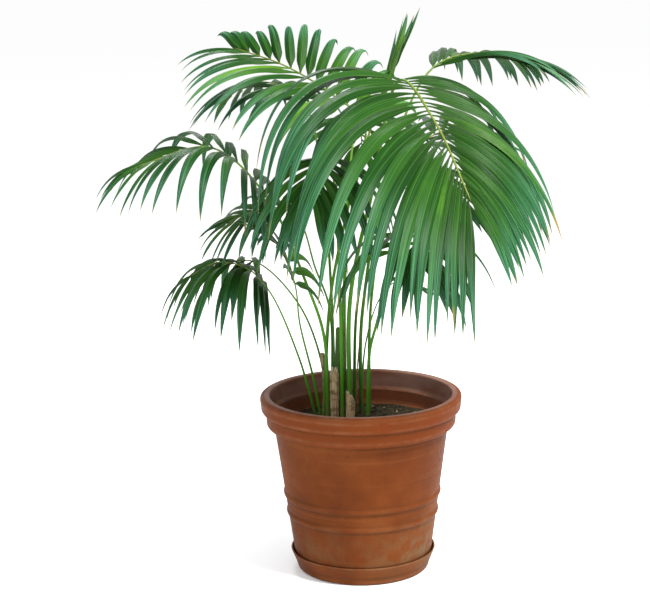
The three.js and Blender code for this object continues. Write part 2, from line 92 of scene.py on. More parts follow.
def make_studio():
    scene = bpy.context.scene
    scene.view_settings.view_transform = "Standard"
    world = bpy.data.worlds.new("studio")
    scene.world = world
    world.use_nodes = True
    background = world.node_tree.nodes["Background"]
    background.inputs["Color"].default_value = (1.0, 1.0, 1.0, 1.0)
    background.inputs["Strength"].default_value = 1.04
    crown = (0.0, 0.0, 0.8)
    make_light("key", (2.0, -2.0, 4.0), crown, 1.1, 400, (1.0, 0.97, 0.91))
    make_light("window", (-2.6, -3.4, 2.2), crown, 1.6, 60, (0.86, 0.93, 1.0))
    make_light("rim", (-0.8, 3.2, 3.6), crown, 1.6, 70, (0.95, 0.98, 1.0))

    floor_mesh = bpy.data.meshes.new("floor")
    reach = 60.0
    floor_mesh.from_pydata(
        [(-reach, -reach, 0), (reach, -reach, 0), (reach, reach, 0), (-reach, reach, 0)],
        [], [(0, 1, 2, 3)])
    floor = bpy.data.objects.new("floor", floor_mesh)
    bpy.context.collection.objects.link(floor)
    floor.location.z = cad_box[0][2] - 0.0005
    material = bpy.data.materials.new("floor")
    material.use_nodes = True
    shader = material.node_tree.nodes["Principled BSDF"]
    shader.inputs["Base Color"].default_value = (0.94, 0.94, 0.94, 1.0)
    shader.inputs["Specular IOR Level"].default_value = 0.0
    shader.inputs["Roughness"].default_value = 0.9
    floor_mesh.materials.append(material)


# ------------------------------------------------------------------ node helpers

class Nodes:
    """Short names for the nodes that the materials here are made of."""

    def __init__(self, name, roughness, specular=0.5, **constants):
        self.material = bpy.data.materials.new(name)
        self.material.use_nodes = True
        self.tree = self.material.node_tree
        self.shader = self.tree.nodes["Principled BSDF"]
        self.shader.inputs["Roughness"].default_value = roughness
        self.shader.inputs["Specular IOR Level"].default_value = specular
        for socket, value in constants.items():
            self.shader.inputs[socket.replace("_", " ")].default_value = value

    def node(self, kind, settings=None, **inputs):
        made = self.tree.nodes.new(kind)
        for key, value in (settings or {}).items():
            setattr(made, key, value)
        for key, value in inputs.items():
            self.feed(made.inputs[key.replace("_", " ")], value)
        return made

    def feed(self, socket, value):
        if isinstance(value, bpy.types.NodeSocket):
            self.tree.links.new(value, socket)
        else:
            socket.default_value = value

    def attribute(self, name):
        return self.node("ShaderNodeAttribute", {"attribute_name": name}).outputs["Fac"]

    def place(self):
        return self.node("ShaderNodeTexCoord").outputs["Object"]

    def uv(self, name):
        return self.node("ShaderNodeUVMap", {"uv_map": name}).outputs["UV"]

    def split(self, vector):
        return self.node("ShaderNodeSeparateXYZ", Vector=vector).outputs

    def stretched(self, vector, scale):
        mapping = self.node("ShaderNodeMapping", Vector=vector)
        mapping.inputs["Scale"].default_value = scale
        return mapping.outputs["Vector"]

    def noise(self, vector, scale, detail=4.0, roughness=0.6):
        made = self.node("ShaderNodeTexNoise", Vector=vector, Scale=scale, Detail=detail)
        made.inputs["Roughness"].default_value = roughness
        return made.outputs["Fac"]

    def math(self, operation, a, b=0.0, c=0.0):
        made = self.node("ShaderNodeMath", {"operation": operation})
        for socket, value in zip(made.inputs, (a, b, c)):
            self.feed(socket, value)
        return made.outputs[0]

    def band(self, value, low, high, to_low=0.0, to_high=1.0):
        """value between low and high as a smooth step from to_low to to_high."""
        made = self.node("ShaderNodeMapRange", {"interpolation_type": "SMOOTHSTEP"})
        for key, given in zip(("Value", "From Min", "From Max", "To Min", "To Max"),
                              (value, low, high, to_low, to_high)):
            self.feed(made.inputs[key], given)
        return made.outputs["Result"]

    def mix(self, share, a, b, blend="MIX"):
        made = self.node("ShaderNodeMix", {"data_type": "RGBA", "blend_type": blend})
        self.feed(made.inputs["Factor"], share)
        self.feed(made.inputs[6], a if isinstance(a, bpy.types.NodeSocket) else (*a, 1.0))
        self.feed(made.inputs[7], b if isinstance(b, bpy.types.NodeSocket) else (*b, 1.0))
        return made.outputs[2]

    def ramp(self, value, *stops):
        made = self.node("ShaderNodeValToRGB", Fac=value)
        elements = made.color_ramp.elements
        while len(elements) < len(stops):
            elements.new(0.5)
        for element, (position, colour) in zip(elements, stops):
            element.position = position
            element.color = (*colour, 1.0)
        return made.outputs["Color"]

    def bump(self, height, distance, strength=1.0):
        made = self.node("ShaderNodeBump", Height=height)
        made.inputs["Distance"].default_value = distance
        made.inputs["Strength"].default_value = strength
        return made.outputs["Normal"]

    def finish(self, colour, roughness=None, normal=None):
        self.feed(self.shader.inputs["Base Color"], colour)
        if roughness is not None:
            self.feed(self.shader.inputs["Roughness"], roughness)
        if normal is not None:
            self.feed(self.shader.inputs["Normal"], normal)
        return self.material


# ------------------------------------------------------------------ materials

def leaf_material():
    """Waxy green blade with fine lengthwise veins, a pale midrib, some dry tips, a painted sheen
    toward the tips and painted highlight lines along the edges.
    """
    n = Nodes("palm_leaf", 0.34, specular=0.07)
    blade = n.uv("Blade")
    across, along = n.split(blade)[0], n.attribute("along")
    tone, under, dry = n.attribute("tone"), n.attribute("under"), n.attribute("dry")
    own_place = n.node("ShaderNodeVectorMath", {"operation": "MULTIPLY_ADD"})
    n.feed(own_place.inputs[0], blade)
    own_place.inputs[1].default_value = (12.0, 1.4, 1.0)
    n.feed(own_place.inputs[2], n.math("MULTIPLY", tone, 40.0))
    streaks = n.noise(own_place.outputs[0], 1.0, detail=6.0, roughness=0.65)
    patches = n.noise(n.place(), 9.0, detail=3.0)
    mixed = n.math("ADD", n.math("MULTIPLY", tone, 0.75), n.math("MULTIPLY", patches, 0.25))
    upper = n.ramp(mixed, (0.15, (0.003, 0.022, 0.002)), (0.42, (0.006, 0.041, 0.004)),
                   (0.68, (0.015, 0.064, 0.006)), (0.90, (0.080, 0.200, 0.010)))
    lower = n.ramp(mixed, (0.2, (0.012, 0.060, 0.005)), (0.7, (0.034, 0.120, 0.009)),
                   (0.90, (0.130, 0.290, 0.012)))
    green = n.mix(under, upper, lower)
    green = n.mix(n.band(along, 0.0, 0.35, 0.45, 0.0), green, (0.021, 0.056, 0.008))
    green = n.mix(n.band(along, 0.30, 0.95, 0.0, 0.6), green, (0.008, 0.064, 0.026))
    green = n.mix(n.band(streaks, 0.50, 0.68, 0.0, 0.5), green, (0.032, 0.098, 0.011))
    green = n.mix(n.band(streaks, 0.34, 0.48, 0.7, 0.0), green, (0.003, 0.020, 0.003))
    # Painted sheen: pale bluish-white streaks toward the leaflet tips stand in for a glossy
    # reflection.
    painted_tip_sheen = n.math("MULTIPLY", n.band(along, 0.42, 0.92), n.band(streaks, 0.46, 0.58))
    green = n.mix(n.math("MULTIPLY", painted_tip_sheen, 0.5), green, (0.115, 0.300, 0.200))
    from_middle = n.math("ABSOLUTE", n.math("SUBTRACT", across, 0.5))
    rib = n.band(from_middle, 0.012, 0.04, 0.55, 0.0)
    green = n.mix(rib, green, (0.046, 0.126, 0.017))
    # Painted highlight: a paler line along each leaflet's edges stands in for light catching the
    # margins.
    painted_edge_highlight = n.band(from_middle, 0.45, 0.5, 0.0, 0.35)
    green = n.mix(painted_edge_highlight, green, (0.050, 0.104, 0.016))
    ragged = n.math("ADD", along, n.math("MULTIPLY", n.math("SUBTRACT", streaks, 0.5), 0.10))
    past = n.math("SUBTRACT", ragged, n.math("SUBTRACT", 1.0, n.math("MULTIPLY", dry, 0.14)))
    brown = n.mix(tone, (0.130, 0.070, 0.018), (0.240, 0.160, 0.045))
    green = n.mix(n.band(past, -0.06, 0.01, 0.0, 0.6), green, (0.200, 0.190, 0.035))
    colour = n.mix(n.band(past, -0.005, 0.02), green, brown)
    veins = n.math("SINE", n.math("MULTIPLY", across, 2 * math.pi * 15))
    relief = n.math("ADD", n.math("MULTIPLY", veins, 0.5), n.math("MULTIPLY", streaks, 0.8))
    rough = n.math("ADD", n.band(streaks, 0.3, 0.7, 0.26, 0.42), n.math("MULTIPLY", under, 0.16))
    return n.finish(colour, rough, n.bump(relief, 0.0004, 0.5))


def stalk_material():
    """Smooth green petiole, paler and yellower toward the leaflets, browner at the soil."""
    n = Nodes("palm_stalk", 0.36, specular=0.1)
    along = n.attribute("along")
    grain = n.noise(n.stretched(n.uv("Blade"), (20.0, 14.0, 1.0)), 1.0, detail=5.0)
    green = n.ramp(along, (0.0, (0.032, 0.105, 0.006)), (0.18, (0.052, 0.190, 0.010)),
                   (0.55, (0.066, 0.190, 0.013)), (0.85, (0.115, 0.150, 0.026)))
    green = n.mix(n.band(grain, 0.5, 0.72, 0.0, 0.5), green, (0.018, 0.055, 0.006))
    scurf = n.noise(n.place(), 240.0, detail=2.0)
    foot = n.math("MULTIPLY", n.band(along, 0.02, 0.09, 1.0, 0.0), n.band(scurf, 0.35, 0.6))
    colour = n.mix(n.math("MULTIPLY", foot, 0.6), green, (0.160, 0.110, 0.055))
    rough = n.band(grain, 0.3, 0.7, 0.34, 0.5)
    return n.finish(colour, rough, n.bump(grain, 0.0004, 0.4))


def shoot_material():
    """Dark green young sheath with brown scurf in vertical streaks."""
    n = Nodes("green_shoot", 0.45, specular=0.12)
    strands = n.noise(n.stretched(n.uv("Blade"), (24.0, 5.0, 1.0)), 1.0, detail=5.0)
    green = n.ramp(strands, (0.3, (0.018, 0.050, 0.010)), (0.7, (0.060, 0.140, 0.025)))
    scurf = n.noise(n.place(), 180.0, detail=3.0)
    colour = n.mix(n.band(scurf, 0.52, 0.66, 0.0, 0.6), green, (0.120, 0.080, 0.040))
    return n.finish(colour, n.band(strands, 0.3, 0.7, 0.38, 0.6), n.bump(strands, 0.0006, 0.6))


def terracotta_material(name, bands_from):
    """Brown-orange fired clay, warmer on the rim bands, scuffed on edges, painted shade in its
    hollows, and dusty near the floor, the dust painted stronger on the side the key light falls on.
    """
    n = Nodes(name, 0.55, specular=0.05)
    place = n.place()
    height = n.split(place)[2]
    wide = n.noise(place, 5.0, detail=5.0)
    fine = n.noise(place, 150.0, detail=4.0, roughness=0.7)
    turned = n.noise(n.stretched(place, (1.2, 1.2, 45.0)), 2.0, detail=4.0)
    body = n.ramp(wide, (0.32, (0.078, 0.018, 0.004)), (0.5, (0.106, 0.026, 0.005)),
                  (0.68, (0.138, 0.039, 0.009)))
    band_share = n.band(height, bands_from - 0.004, bands_from + 0.004, 0.0, 0.7)
    colour = n.mix(band_share, body, (0.118, 0.025, 0.005))
    colour = n.mix(n.band(turned, 0.50, 0.75, 0.0, 0.22), colour, (0.165, 0.062, 0.021))
    colour = n.mix(n.band(turned, 0.30, 0.42, 0.25, 0.0), colour, (0.085, 0.024, 0.007))
    colour = n.mix(n.band(fine, 0.60, 0.72, 0.0, 0.30), colour, (0.175, 0.074, 0.029))
    pits = n.noise(place, 60.0, detail=2.0)
    colour = n.mix(n.band(pits, 0.68, 0.73, 0.0, 0.5), colour, (0.060, 0.022, 0.010))
    # The pale greenish bloom near the floor is real, but it is painted much stronger on the +x side,
    # where the key light falls: partly bloom, partly painted light.
    key_lit_side = n.band(n.split(place)[0], 0.02, 0.20)
    damp = n.math("MULTIPLY", n.band(height, 0.05, 0.20, 1.0, 0.0),
                  n.band(height, 0.035, 0.06, 0.35))
    bloom_with_painted_light = n.math("MULTIPLY", n.math("MULTIPLY", damp, n.math("ADD", 0.25, key_lit_side)),
                   n.band(n.noise(place, 16.0, detail=5.0), 0.40, 0.62))
    colour = n.mix(n.math("MULTIPLY", bloom_with_painted_light, 0.75), colour, (0.105, 0.092, 0.050))
    worn = n.attribute("worn")
    chafed = n.math("MULTIPLY", worn, n.band(n.noise(place, 14.0, detail=6.0), 0.34, 0.70))
    colour = n.mix(n.math("MULTIPLY", chafed, 0.34), colour, (0.230, 0.110, 0.060))
    streaked = n.noise(n.stretched(place, (1.0, 1.0, 3.0)), 9.0, detail=6.0)
    silt = n.math("MULTIPLY", n.band(height, 0.385, 0.405, 0.15, 0.65),
                  n.band(streaked, 0.3, 0.6, 0.4))
    inner = n.math("MULTIPLY", n.attribute("under"), silt)
    colour = n.mix(inner, colour, (0.205, 0.128, 0.105))
    # Painted shade: the clay is darkened in the hollows under the bands and rings, on the inner wall
    # above the soil and round the foot, where shade falls.
    hollow_shade = n.math("MULTIPLY", n.attribute("hollow_shade"),
                   n.band(n.noise(place, 24.0, detail=3.0), 0.3, 0.6, 0.4, 1.0))
    colour = n.mix(n.math("MULTIPLY", hollow_shade, 0.5), colour, (0.042, 0.018, 0.007))
    rough = n.band(n.math("ADD", fine, n.math("MULTIPLY", wide, 0.4)), 0.4, 0.95, 0.36, 0.66)
    relief = n.math("ADD", n.math("MULTIPLY", fine, 0.5), n.math("MULTIPLY", turned, 0.9))
    return n.finish(colour, rough, n.bump(relief, 0.0006, 0.35))


def soil_material():
    n = Nodes("potting_soil", 0.95, specular=0.06)
    place = n.place()
    grain = n.noise(place, 160.0, detail=6.0, roughness=0.7)
    patch = n.noise(place, 22.0, detail=3.0)
    colour = n.ramp(grain, (0.3, (0.010, 0.007, 0.005)), (0.52, (0.032, 0.025, 0.014)),
                    (0.72, (0.092, 0.074, 0.043)))
    colour = n.mix(n.band(patch, 0.45, 0.7, 0.0, 0.5), colour, (0.055, 0.042, 0.028))
    crumb = n.attribute("tone")
    colour = n.mix(n.math("MULTIPLY", n.band(crumb, 0.86, 0.97), 0.8), colour, (0.33, 0.26, 0.17))
    return n.finish(colour, n.band(grain, 0.3, 0.7, 0.85, 1.0), n.bump(grain, 0.0015, 0.8))


def dry_material(name, dark, light, gloss=0.7):
    """Dead, fibrous sheath: long streaks from dark to pale, with frayed brown patches."""
    n = Nodes(name, gloss, specular=0.08)
    strands = n.noise(n.stretched(n.uv("Blade"), (24.0, 2.2, 1.0)), 1.0, detail=7.0, roughness=0.75)
    blotch = n.noise(n.place(), 60.0, detail=4.0)
    colour = n.ramp(strands, (0.40, dark), (0.60, light))
    colour = n.mix(n.band(blotch, 0.48, 0.64, 0.0, 0.7), colour, tuple(0.45 * c for c in dark))
    top = n.band(n.attribute("along"), 0.80, 0.98, 0.0, 0.6)
    colour = n.mix(n.math("MULTIPLY", top, n.band(strands, 0.4, 0.6)), colour, dark)
    pale = n.attribute("worn")
    colour = n.mix(n.math("MULTIPLY", pale, 0.55), colour, (0.60, 0.52, 0.40))
    return n.finish(colour, n.band(strands, 0.3, 0.7, gloss - 0.1, gloss + 0.15),
                    n.bump(strands, 0.0012, 0.8))


# ------------------------------------------------------------------ mesh helpers

def jitter(seed):
    """A repeatable number from -1 to 1 for any seed."""
    wave = math.sin(seed * 12.9898 + 4.1414) * 43758.5453
    return 2 * (wave - math.floor(wave)) - 1


def lerp(a, b, share):
    return a + (b - a) * share


def unit(vector):
    return vector / np.linalg.norm(vector)


def smoothstep(low, high, value):
    share = np.clip((value - low) / (high - low), 0.0, 1.0)
    return share * share * (3 - 2 * share)


class Builder:
    """Gathers grids of quads into one mesh, with its attributes and two UV layouts.

    "Blade" runs across and along each grid, for patterns. "OFBake" gives each grid its own cell.
    """

    KEYS = ("along", "tone", "under", "dry", "worn", "hollow_shade")

    def __init__(self, cells_aspect=1.0):
        self.points, self.quads, self.slots = [], [], []
        self.blade, self.local, self.cells = [], [], []
        self.values = {key: [] for key in self.KEYS}
        self.count = 0
        self.aspect = cells_aspect

    def add_points(self, points, values):
        points = points.reshape(-1, 3)
        start = self.count
        self.points.append(points)
        self.count += len(points)
        for key, gathered in self.values.items():
            given = np.asarray(values.get(key, 0.0), float)
            gathered.append(np.broadcast_to(given.reshape(-1), (len(points),)) if given.size == 1
                            else given.reshape(-1))
        return start

    def add_quads(self, quads, blade, local, slot, cell):
        quads = np.asarray(quads).reshape(-1, 4)
        self.quads.append(quads)
        self.blade.append(np.asarray(blade, float).reshape(-1, 2))
        self.local.append(np.asarray(local, float).reshape(-1, 2))
        self.slots.append(np.full(len(quads), slot))
        self.cells.append(np.full(len(quads) * 4, cell))

    def sheet(self, start, rows, columns, flip, across, along, local_from, local_to, slot, cell,
              wrap=False):
        """Quads over a grid of points whose first index is start."""
        r, c = np.meshgrid(np.arange(rows - 1), np.arange(columns - (0 if wrap else 1)),
                           indexing="ij")
        c2 = (c + 1) % columns
        corners = [(r, c), (r, c2), (r + 1, c2), (r + 1, c)]
        texture = [(r, c), (r, c + 1), (r + 1, c + 1), (r + 1, c)]
        if flip:
            corners, texture = corners[::-1], texture[::-1]
        quads = np.stack([start + i * columns + j for i, j in corners], -1)
        u = np.stack([across[j] for _, j in texture], -1)
        v = np.stack([along[i] for i, _ in texture], -1)
        local_u = lerp(local_from, local_to, np.stack([
            j / (len(across) - 1) for _, j in texture], -1))
        self.add_quads(quads, np.stack([u, v], -1), np.stack([local_u, v], -1), slot, cell)

    def panel(self, upper, lower, slot=0, cell=0, **values):
        """A thin closed sheet between two grids of points, rows along it and columns across."""
        rows, columns = upper.shape[:2]
        across, along = np.linspace(0, 1, columns), np.linspace(0, 1, rows)
        grid_along = np.repeat(along, columns)
        top = self.add_points(upper, {"along": grid_along, **values, "under": 0.0})
        low = self.add_points(lower, {"along": grid_along, **values, "under": 1.0})
        self.sheet(top, rows, columns, False, across, along, 0.0, 0.47, slot, cell)
        self.sheet(low, rows, columns, True, across, along, 0.53, 1.0, slot, cell)
        right, left = columns - 1, 0
        seams = []
        for r in range(rows - 1):
            a, b = r * columns, (r + 1) * columns
            seams.append(((top + a + right, low + a + right, low + b + right, top + b + right),
                          (1.0, along[r]), (1.0, along[r + 1]), 0.48))
            seams.append(((low + a + left, top + a + left, top + b + left, low + b + left),
                          (0.0, along[r]), (0.0, along[r + 1]), 0.52))
        for quad, uv0, uv1, where in seams:
            self.add_quads([quad], [uv0, uv0, uv1, uv1],
                           [(where, uv0[1]), (where + 0.01, uv0[1]),
                            (where + 0.01, uv1[1]), (where, uv1[1])], slot, cell)
        for r, flip in ((0, False), (rows - 1, True)):
            for c in range(columns - 1):
                a = r * columns + c
                quad = (low + a, low + a + 1, top + a + 1, top + a)
                uvs = [(across[c], along[r]), (across[c + 1], along[r])] * 2
                spot = [(0.5 * across[c], along[r]), (0.5 * across[c + 1], along[r])] * 2
                self.add_quads([quad[::-1] if flip else quad], uvs, spot, slot, cell)

    def tube(self, rings, slot=0, cell=0, capped=True, along=None, **values):
        """Rings of an even number of points joined in order, anticlockwise seen from the end."""
        rings = np.asarray(rings, float)
        rows, columns = rings.shape[:2]
        along = np.linspace(0, 1, rows) if along is None else np.asarray(along)
        around = np.linspace(0, 1, columns + 1)
        start = self.add_points(rings, {"along": np.repeat(along, columns), **values})
        self.sheet(start, rows, columns, False, around, along, 0.0, 1.0, slot, cell, wrap=True)
        if not capped:
            return
        for row, flip in ((0, True), (rows - 1, False)):
            base = start + row * columns
            for j in range(columns // 2 - 1):
                quad = [base + j, base + j + 1, base + columns - 2 - j, base + columns - 1 - j]
                uvs = [(around[k - base], along[row]) for k in quad]
                if flip:
                    quad, uvs = quad[::-1], uvs[::-1]
                self.add_quads([quad], uvs, uvs, slot, cell)

    def object(self, name, materials, replaces=(), sharp=35.0):
        points = np.concatenate(self.points) * MM
        quads = np.concatenate(self.quads)
        mesh = bpy.data.meshes.new(name)
        mesh.vertices.add(len(points))
        mesh.vertices.foreach_set("co", points.ravel())
        mesh.loops.add(quads.size)
        mesh.loops.foreach_set("vertex_index", quads.ravel())
        mesh.polygons.add(len(quads))
        mesh.polygons.foreach_set("loop_start", np.arange(len(quads)) * 4)
        mesh.polygons.foreach_set("material_index", np.concatenate(self.slots))
        mesh.polygons.foreach_set("use_smooth", np.ones(len(quads), bool))
        mesh.update(calc_edges=True)
        for key, gathered in self.values.items():
            layer = mesh.attributes.new(key, "FLOAT", "POINT")
            layer.data.foreach_set("value", np.concatenate(gathered))
        blade = np.concatenate(self.blade)
        mesh.uv_layers.new(name="Blade").data.foreach_set("uv", blade.ravel())
        mesh.uv_layers.new(name="OFBake").data.foreach_set("uv", self.packed().ravel())
        for material in materials:
            mesh.materials.append(material)
        mesh.set_sharp_from_angle(angle=math.radians(sharp))
        made = bpy.data.objects.new(name, mesh)
        bpy.context.collection.objects.link(made)
        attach(made, "root")
        if replaces:
            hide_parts(*replaces)
        return made

    def packed(self):
        """Where each corner goes on the baked image: the grids' cells fill it in rows."""
        local, cells = np.concatenate(self.local), np.concatenate(self.cells)
        kinds, index = np.unique(cells, return_inverse=True)
        columns = max(1, math.ceil(math.sqrt(len(kinds) * self.aspect)))
        rows = math.ceil(len(kinds) / columns)
        column, row = index % columns, index // columns
        u = (column + 0.04 + 0.92 * local[:, 0]) / columns
        v = (row + 0.01 + 0.98 * local[:, 1]) / rows
        return np.stack([u, v], 1)


def smooth_curve(points, samples=400):
    """Samples of a centripetal Catmull-Rom curve through the points."""
    points = np.asarray(points, float)
    padded = np.vstack([2 * points[0] - points[1], points, 2 * points[-1] - points[-2]])
    runs = len(points) - 1
    result = []
    for k in range(samples + 1):
        place = runs * k / samples
        i = min(int(place), runs - 1)
        w = place - i
        p0, p1, p2, p3 = padded[i:i + 4]
        d0, d1, d2 = (max(np.linalg.norm(b - a), 1e-9) ** 0.5
                      for a, b in ((p0, p1), (p1, p2), (p2, p3)))
        t1 = ((p1 - p0) / d0 - (p2 - p0) / (d0 + d1) + (p2 - p1) / d1) * d1
        t2 = ((p2 - p1) / d1 - (p3 - p1) / (d1 + d2) + (p3 - p2) / d2) * d1
        result.append(p1 + t1 * w + (-3 * p1 + 3 * p2 - 2 * t1 - t2) * w ** 2
                      + (2 * p1 - 2 * p2 + t1 + t2) * w ** 3)
    return np.array(result)


class Path:
    """A smooth curve that gives its point and direction at a share of its length."""

    def __init__(self, points):
        self.samples = smooth_curve(points)
        steps = np.linalg.norm(np.diff(self.samples, axis=0), axis=1)
        lengths = np.concatenate([[0.0], np.cumsum(steps)])
        self.length = lengths[-1]
        self.shares = lengths / lengths[-1]

    def at(self, share):
        return np.array([np.interp(share, self.shares, self.samples[:, k]) for k in range(3)])

    def along(self, share):
        step = 0.006
        return unit(self.at(min(share + step, 1.0)) - self.at(max(share - step, 0.0)))


# ------------------------------------------------------------------ fronds

SOIL_TOP = 383.4
BURIED = 22.0
DOWN = np.array([0.0, 0.0, -1.0])
PETIOLE_RADIUS = 4.2
LEAFLET_WIDTH = 27.0

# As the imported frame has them: the stem's points above the soil in millimetres, the number of the
# point where the leaflets begin, how many pairs, how stout, and for each side the leaflets' length,
# lift, droop, how late they bend, and their angle to the stem at the neck.
FRONDS = {
    "frond_front_right": (
        [(-26, 0, 0), (-22, -4, 300), (34, -22, 560), (100, -105, 838), (178, -280, 756),
         (247, -420, 600)],
        3, 27, 1.2, (620, 20, 0.93, 1.0, 84), (420, 12, 0.88, 0.75, 78)),
    "frond_upper_left": (
        [(-94, 42, 0), (-70, 40, 300), (-14, 44, 560), (20, 44, 722), (-62, 56, 798),
         (-170, 100, 862), (-300, 165, 905)],
        3, 14, 1.0, (165, 62, 0.8, 3.0, 90), (330, -4, 0.7, 1.0, 78)),
    "frond_mid_left": (
        [(-82, 20, 0), (-88, 6, 205), (-128, -6, 340), (-222, -8, 560), (-350, -20, 680),
         (-530, -46, 640)],
        3, 12, 1.0, (290, 22, 0.8, 0.9, 78), (290, 10, 0.85, 0.8, 78)),
    "frond_low_left": (
        [(-112, 66, 0), (-153, 40, 145), (-219, 8, 318), (-271, -4, 379), (-340, -10, 398),
         (-414, -16, 365)],
        2, 11, 0.7, (270, 12, 0.9, 0.7, 78), (270, 6, 0.9, 0.6, 78)),
    "frond_small_left": (
        [(-74, 52, 0), (-74, 60, 262), (-108, 72, 365), (-149, 86, 488), (-210, 92, 515),
         (-330, 98, 478)],
        3, 9, 0.8, (220, 20, 0.6, 1.0, 78), (220, 4, 0.8, 0.8, 78)),
    "frond_low_left_back": (
        [(-84, 92, 0), (-103, 96, 140), (-155, 98, 272), (-254, 104, 374), (-330, 120, 372),
         (-400, 140, 330)],
        3, 7, 0.7, (230, 15, 0.85, 0.7, 78), (230, 5, 0.9, 0.7, 78)),
    "frond_low_left_young": (
        [(-100, 54, 0), (-117, 44, 85), (-148, 24, 235), (-156, 10, 330), (-182, -6, 420),
         (-226, -20, 466)],
        3, 6, 0.7, (190, 15, 0.5, 1.0, 78), (190, 10, 0.7, 1.0, 78)),
    "frond_upper_right": (
        [(2, 30, 0), (1, 34, 170), (10, 54, 275), (69, 122, 578), (186, 200, 837),
         (320, 300, 873), (450, 385, 850)],
        4, 15, 1.0, (340, 2, 0.6, 1.0, 45), (340, 4, 0.6, 1.0, 45)),
    "frond_right_back": (
        [(20, 50, 0), (30, 66, 280), (76, 84, 520), (145, 126, 650), (230, 166, 690),
         (320, 196, 650)],
        3, 8, 0.9, (240, 10, 0.5, 1.0, 78), (240, 20, 0.5, 1.0, 78)),
    "frond_low_right": (
        [(16, 10, 0), (24, 4, 165), (40, -4, 230), (88, -48, 407), (121, -100, 480),
         (150, -190, 420)],
        3, 8, 0.9, (280, 10, 0.9, 0.6, 78), (280, 10, 0.9, 0.6, 78)),
    "frond_small_right": (
        [(0, 76, 0), (14, 96, 160), (50, 122, 270), (90, 142, 310), (140, 160, 300)],
        3, 5, 0.6, (120, 15, 0.6, 1.0, 78), (120, 15, 0.6, 1.0, 78)),
    "frond_centre": (
        [(-46, 3, 0), (-46, -8, 200), (-50, -22, 470), (-62, -60, 640), (-85, -150, 655),
         (-105, -240, 580)],
        3, 9, 1.0, (300, 10, 0.9, 0.6, 78), (300, 10, 0.9, 0.6, 78)),
    "frond_new_spear": (
        [(-38, 44, 0), (-38, 50, 300), (-6, 66, 560), (52, 82, 760), (100, 92, 885)],
        3, 4, 1.2, (200, 5, 0.05, 1.0, 16), (200, 5, 0.05, 1.0, 16)),
    "frond_back_left": (
        [(-66, 88, 0), (-70, 112, 300), (-90, 150, 600), (-130, 196, 760), (-230, 275, 810),
         (-340, 345, 770)],
        3, 8, 0.9, (260, 10, 0.7, 0.8, 78), (260, 10, 0.7, 0.8, 78)),
    "frond_back": (
        [(-40, 84, 0), (-36, 118, 300), (-22, 190, 560), (0, 300, 700), (10, 420, 690),
         (15, 520, 590)],
        3, 8, 0.9, (280, 10, 0.7, 0.8, 78), (280, 10, 0.7, 0.8, 78)),
    "frond_back_right": (
        [(-18, 78, 0), (-2, 116, 280), (60, 196, 480), (130, 290, 580), (210, 375, 560),
         (270, 430, 470)],
        3, 8, 0.9, (250, 10, 0.7, 0.8, 78), (250, 10, 0.7, 0.8, 78)),
}
YOUNG = {"frond_new_spear": 0.5, "frond_low_left_young": 0.2, "frond_upper_left": 0.28}


def stem_of(points, neck):
    above = np.array(points, float) + (0, 0, SOIL_TOP)
    foot = above[0] - (0, 0, BURIED)
    path = Path(np.vstack([foot, above[1:]]))
    neck_share = path.shares[round(neck / (len(points) - 1) * (len(path.samples) - 1))]
    heading = above[-1] - above[neck]
    heading[2] = 0.0
    return path, neck_share, unit(heading)


def frame_at(path, heading, share):
    along = path.along(share)
    right = np.cross(heading, UP)
    right = unit(right - np.dot(right, along) * along)
    return along, right, np.cross(right, along)


def add_stem(builder, path, heading, thick):
    """Round, with a shallow channel along its upper side, and a little broader at the soil."""
    steps, sides = 70, 12
    shares = np.linspace(0, 1, steps + 1)
    rings = []
    for share in shares:
        _, right, up = frame_at(path, heading, share)
        radius = PETIOLE_RADIUS * thick * lerp(1.25, 0.4, share)
        radius *= 1.0 + 0.22 * math.exp(-((share * path.length - BURIED) / 45) ** 2)
        if share > 0.985:
            radius *= max(0.08, (1 - share) / 0.015)
        ring = []
        for side in range(sides):
            angle = 2 * math.pi * side / sides
            channel = 0.24 * math.exp(-(((angle - math.pi / 2) / 0.5) ** 2))
            reach = radius * (1.0 - channel)
            ring.append(path.at(share) + reach * (math.cos(angle) * right + math.sin(angle) * up))
        rings.append(ring[::-1])
    builder.tube(rings, slot=1, cell=0, along=shares, tone=0.5)


def leaflet_line(start, direction, length, droop, late, steps):
    line = [start]
    for step in range(1, steps + 1):
        bend = droop * ((step - 0.5) / steps) ** late
        heading = unit(direction * (1 - bend) + DOWN * bend)
        line.append(line[-1] + heading * length / steps)
    return np.array(line)


def leaf_outline(shares, blunt):
    """Half-width along a leaflet: a narrow neck, a long even strip, and a drawn-out point."""
    rise = 0.16 + 0.84 * smoothstep(0.0, 0.24, shares)
    fall = 1.0 - np.clip((shares - 0.42) / 0.58, 0.0, 1.0) ** lerp(1.35, 2.6, blunt)
    return np.maximum(rise * fall, 0.015)


